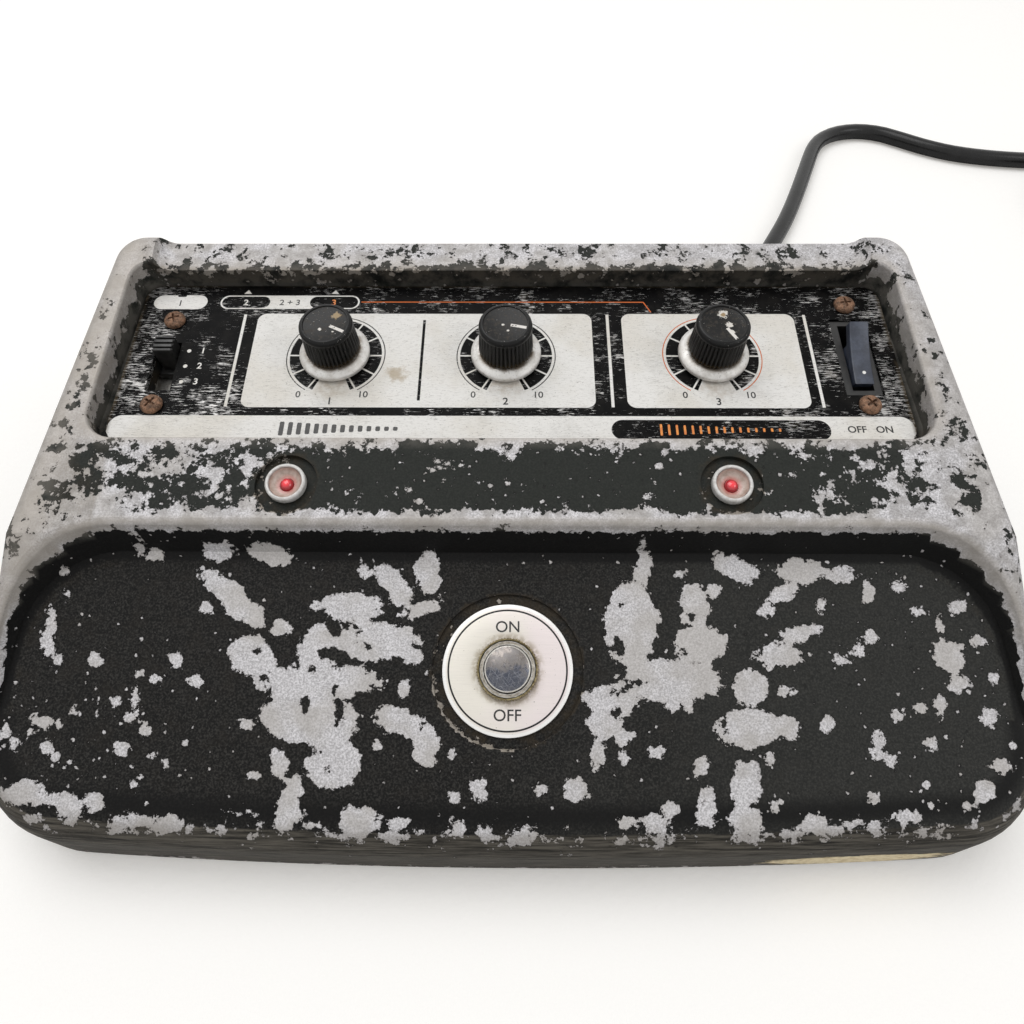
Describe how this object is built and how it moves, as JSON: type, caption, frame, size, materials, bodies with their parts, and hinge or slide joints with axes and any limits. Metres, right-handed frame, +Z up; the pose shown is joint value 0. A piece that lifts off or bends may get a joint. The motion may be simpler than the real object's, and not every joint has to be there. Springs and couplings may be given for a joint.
{
  "type": "delay pedal",
  "caption": "Mains powered floor delay pedal with a wedge shaped cast case, dials on a recessed panel, two lamps, a sloping tread and a footswitch.",
  "frame": {"origin": "centre of the footprint at the bottom of the feet, without the cord", "axes": "+X to the player's right, +Y to the back where the sockets are, +Z up"},
  "size_m": [0.5053, 0.3582, 0.0756],
  "materials": {
    "case_paint": "worn fine grained black paint, chipped to grey cast metal",
    "base_plate": "satin black sheet steel",
    "rubber": "matt rubber",
    "rusty_steel": "rusty pan head screws",
    "plated_steel": "plated steel",
    "printed_panel": "black and off-white print, scratched",
    "black_plastic": "glossy black, dusty",
    "rocker_plastic": "dark blue grey satin",
    "chrome": "scratched chrome",
    "brass": "dull plated brass, knurled",
    "aluminium": "satin aluminium, stained",
    "lens_bezel": "milky lens ring",
    "lamp_red": "red lamp",
    "circuit_board": "bare board",
    "iron": "lacquered transformer iron",
    "cord_jacket": "smooth black jacket",
    "plug_plastic": "moulded black plug with metal blades"
  },
  "bodies": {
    "case": {"bottom_plate": "base_plate", "control_panel": "printed_panel", "cord": "cord_jacket", "cord_coil": "cord_jacket", "cord_gland": "rubber", "delay_chip": "black_plastic", "foot_front_left": "rubber", "foot_front_right": "rubber", "foot_rear_left": "rubber", "foot_rear_right": "rubber", "foot_screw_front_left": "rusty_steel", "foot_screw_front_right": "rusty_steel", "foot_screw_rear_left": "rusty_steel", "foot_screw_rear_right": "rusty_steel", "footswitch_body": "plated_steel", "footswitch_disc": "aluminium", "footswitch_nut": "brass", "indicator_bezel_left": "lens_bezel", "indicator_bezel_right": "lens_bezel", "indicator_lamp_left": "lamp_red", "indicator_lamp_right": "lamp_red", "jack_input": "black_plastic", "jack_nut_input": "plated_steel", "jack_nut_output_direct": "plated_steel", "jack_nut_output_mixed": "plated_steel", "jack_output_direct": "black_plastic", "jack_output_mixed": "black_plastic", "level_switch_body": "plated_steel", "main_board": "circuit_board", "panel_screw_front_left": "rusty_steel", "panel_screw_front_right": "rusty_steel", "panel_screw_rear_left": "rusty_steel", "panel_screw_rear_right": "rusty_steel", "plug": "plug_plastic", "pot_body_left": "plated_steel", "pot_body_middle": "plated_steel", "pot_body_right": "plated_steel", "pot_nut_left": "plated_steel", "pot_nut_middle": "plated_steel", "pot_nut_right": "plated_steel", "power_switch_body": "black_plastic", "power_transformer": "iron", "top_casting": "case_paint"},
    "dial_left": {"pot_shaft_left": "plated_steel", "knob_skirt_left": "aluminium", "knob_cap_left": "black_plastic"},
    "dial_middle": {"pot_shaft_middle": "plated_steel", "knob_skirt_middle": "aluminium", "knob_cap_middle": "black_plastic"},
    "dial_right": {"pot_shaft_right": "plated_steel", "knob_skirt_right": "aluminium", "knob_cap_right": "black_plastic"},
    "level_slider": {"level_switch_slider": "black_plastic"},
    "rocker": {"power_rocker": "rocker_plastic"},
    "plunger": {"footswitch_plunger": "chrome"}
  },
  "joints": [
    {"name": "dial_left_turn", "type": "hinge", "parent": "case", "child": "dial_left", "pos_m": [-0.0492, 0.0415, 0.061], "axis": [0, -0.1392, 0.9903], "range_deg": [-33, 267]},
    {"name": "dial_middle_turn", "type": "hinge", "parent": "case", "child": "dial_middle", "pos_m": [-0.0011, 0.0415, 0.061], "axis": [0, -0.1392, 0.9903], "range_deg": [-48, 252]},
    {"name": "dial_right_turn", "type": "hinge", "parent": "case", "child": "dial_right", "pos_m": [0.0569, 0.0415, 0.061], "axis": [0, -0.1392, 0.9903], "range_deg": [0, 300]},
    {"name": "level_slide", "type": "slide", "parent": "case", "child": "level_slider", "axis": [0, 0.9903, 0.1392], "range_m": [-0.0108, 0]},
    {"name": "power_rock", "type": "hinge", "parent": "case", "child": "rocker", "pos_m": [0.0973, 0.04231, 0.05808], "axis": [1, 0, 0], "range_deg": [-30.4, 0]},
    {"name": "footswitch_press", "type": "slide", "parent": "case", "child": "plunger", "axis": [0, -0.3256, 0.9455], "range_m": [-0.003, 0], "stiffness_N_per_m": 4000, "springref_m": 0.001}
  ]
}
